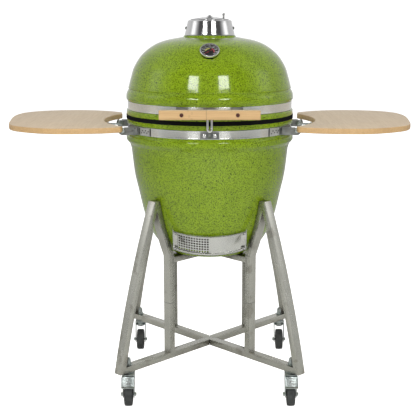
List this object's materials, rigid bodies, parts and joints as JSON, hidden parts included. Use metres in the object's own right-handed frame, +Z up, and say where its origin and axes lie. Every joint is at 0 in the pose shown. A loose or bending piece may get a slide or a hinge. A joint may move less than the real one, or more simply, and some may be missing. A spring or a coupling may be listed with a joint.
{
  "type": "kamado ceramic grill",
  "caption": "Kamado ceramic grill: glazed egg-shaped pot and hinged dome on a steel cart with casters, folding bamboo shelves, draft door, top vent and dial thermometer.",
  "frame": {"origin": "on the floor, under the pot's vertical axis, which is the centre of the bounding box's bottom face", "axes": "+Z up, +X to the right when facing the grill, +Y to the rear, so the handle and draft door face -Y and the lid hinge is at +Y"},
  "size_m": [1.3288, 0.6599, 1.23],
  "materials": {
    "green_glaze": "glossy speckled glaze",
    "gasket_felt": "matt felt",
    "band_steel": "satin stainless",
    "vent_steel": "polished stainless",
    "cart_steel": "brushed stainless tube",
    "fireclay": "unglazed, matt",
    "grate_iron": "seasoned",
    "bracket_steel": "dark satin",
    "bright_steel": "bright plated",
    "zinc_plate": "zinc plated",
    "bamboo": "oiled laminated bamboo",
    "wheel_rubber": "grey-black, matt",
    "dial_black": "matt black",
    "needle_white": "matt white",
    "lens_glass": "clear"
  },
  "bodies": {
    "stand": {"leg_frame_front_left": "cart_steel", "leg_frame_front_right": "cart_steel", "leg_frame_rear_left": "cart_steel", "leg_frame_rear_right": "cart_steel", "pot_cradle": "cart_steel", "caster_stem_front_left": "zinc_plate", "caster_stem_front_right": "zinc_plate", "caster_stem_rear_left": "zinc_plate", "caster_stem_rear_right": "zinc_plate", "base_pot": "green_glaze", "pot_gasket": "gasket_felt", "pot_band": "band_steel", "firebox": "fireclay", "fire_ring": "fireclay", "charcoal_grate": "grate_iron", "cooking_grate": "grate_iron", "draft_frame": "band_steel", "latch_catch": "bracket_steel", "hinge_lower_bracket": "bracket_steel", "hinge_pin": "bright_steel", "hinge_spring_left": "bright_steel", "hinge_spring_right": "bright_steel", "shelf_bracket_left_front": "bracket_steel", "shelf_bracket_left_rear": "bracket_steel", "shelf_bracket_right_front": "bracket_steel", "shelf_bracket_right_rear": "bracket_steel"},
    "lid": {"lid_dome": "green_glaze", "lid_gasket": "gasket_felt", "lid_band": "band_steel", "hinge_upper_bracket": "bracket_steel", "handle_bar": "bamboo", "handle_bracket_left": "bracket_steel", "handle_bracket_right": "bracket_steel", "latch_hanger": "bracket_steel", "thermometer_housing": "bright_steel", "thermometer_face": "dial_black", "thermometer_lens": "lens_glass", "vent_body": "vent_steel"},
    "vent_cap": {"vent_disc": "vent_steel", "vent_knob": "vent_steel"},
    "needle": {"thermometer_needle": "needle_white"},
    "latch": {"latch_bail": "bright_steel"},
    "door_slider": {"draft_door": "band_steel"},
    "screen_slider": {"draft_screen": "band_steel"},
    "shelf_left": {"shelf_board_left": "bamboo", "shelf_arm_left_front": "zinc_plate", "shelf_arm_left_rear": "zinc_plate"},
    "shelf_right": {"shelf_board_right": "bamboo", "shelf_arm_right_front": "zinc_plate", "shelf_arm_right_rear": "zinc_plate"},
    "caster_front_left": {"caster_fork_front_left": "zinc_plate"},
    "wheel_front_left": {"caster_wheel_front_left": "wheel_rubber"},
    "pedal_front_left": {"brake_pedal_front_left": "zinc_plate"},
    "caster_front_right": {"caster_fork_front_right": "zinc_plate"},
    "wheel_front_right": {"caster_wheel_front_right": "wheel_rubber"},
    "pedal_front_right": {"brake_pedal_front_right": "zinc_plate"},
    "caster_rear_left": {"caster_fork_rear_left": "zinc_plate"},
    "wheel_rear_left": {"caster_wheel_rear_left": "wheel_rubber"},
    "caster_rear_right": {"caster_fork_rear_right": "zinc_plate"},
    "wheel_rear_right": {"caster_wheel_rear_right": "wheel_rubber"}
  },
  "joints": [
    {"name": "lid_hinge", "type": "hinge", "parent": "stand", "child": "lid", "pos_m": [0, 0.318, 0.903], "axis": [-1, 0, 0], "range_deg": [0, 75]},
    {"name": "vent_turn", "type": "hinge", "parent": "lid", "child": "vent_cap", "pos_m": [0, 0, 1.2], "axis": [0, 0, 1], "range_deg": [0, 30]},
    {"name": "needle_turn", "type": "hinge", "parent": "lid", "child": "needle", "pos_m": [0, -0.2046, 1.113], "axis": [0, -0.6428, 0.766], "range_deg": [-250, 0]},
    {"name": "latch_swing", "type": "hinge", "parent": "lid", "child": "latch", "pos_m": [0, -0.286, 0.936], "axis": [-1, 0, 0], "range_deg": [0, 28]},
    {"name": "door_slide", "type": "hinge", "parent": "stand", "child": "door_slider", "pos_m": [0, 0.00291, 0.59201], "axis": [0, -0.3907, 0.9205], "range_deg": [-26, 0]},
    {"name": "screen_slide", "type": "hinge", "parent": "stand", "child": "screen_slider", "pos_m": [0, 0.00291, 0.59201], "axis": [0, -0.3907, 0.9205], "range_deg": [0, 26]},
    {"name": "shelf_left_fold", "type": "hinge", "parent": "stand", "child": "shelf_left", "pos_m": [-0.28784, -0.03534, 0.868], "axis": [0.1219, -0.9925, 0], "range_deg": [0, 90]},
    {"name": "shelf_right_fold", "type": "hinge", "parent": "stand", "child": "shelf_right", "pos_m": [0.28784, -0.03534, 0.868], "axis": [0.1219, 0.9925, 0], "range_deg": [0, 90]},
    {"name": "swivel_front_left", "type": "hinge", "parent": "stand", "child": "caster_front_left", "pos_m": [-0.2588, -0.2588, 0.1], "axis": [0, 0, 1], "continuous": true},
    {"name": "roll_front_left", "type": "hinge", "parent": "caster_front_left", "child": "wheel_front_left", "pos_m": [-0.2588, -0.2728, 0.0375], "axis": [1, 0, 0], "continuous": true},
    {"name": "brake_front_left", "type": "hinge", "parent": "caster_front_left", "child": "pedal_front_left", "pos_m": [-0.2588, -0.2828, 0.096], "axis": [1, 0, 0], "range_deg": [0, 17]},
    {"name": "swivel_front_right", "type": "hinge", "parent": "stand", "child": "caster_front_right", "pos_m": [0.2588, -0.2588, 0.1], "axis": [0, 0, 1], "continuous": true},
    {"name": "roll_front_right", "type": "hinge", "parent": "caster_front_right", "child": "wheel_front_right", "pos_m": [0.2588, -0.2728, 0.0375], "axis": [1, 0, 0], "continuous": true},
    {"name": "brake_front_right", "type": "hinge", "parent": "caster_front_right", "child": "pedal_front_right", "pos_m": [0.2588, -0.2828, 0.096], "axis": [1, 0, 0], "range_deg": [0, 17]},
    {"name": "swivel_rear_left", "type": "hinge", "parent": "stand", "child": "caster_rear_left", "pos_m": [-0.2588, 0.2588, 0.1], "axis": [0, 0, 1], "continuous": true},
    {"name": "roll_rear_left", "type": "hinge", "parent": "caster_rear_left", "child": "wheel_rear_left", "pos_m": [-0.2588, 0.2448, 0.0375], "axis": [1, 0, 0], "continuous": true},
    {"name": "swivel_rear_right", "type": "hinge", "parent": "stand", "child": "caster_rear_right", "pos_m": [0.2588, 0.2588, 0.1], "axis": [0, 0, 1], "continuous": true},
    {"name": "roll_rear_right", "type": "hinge", "parent": "caster_rear_right", "child": "wheel_rear_right", "pos_m": [0.2588, 0.2448, 0.0375], "axis": [1, 0, 0], "continuous": true}
  ]
}
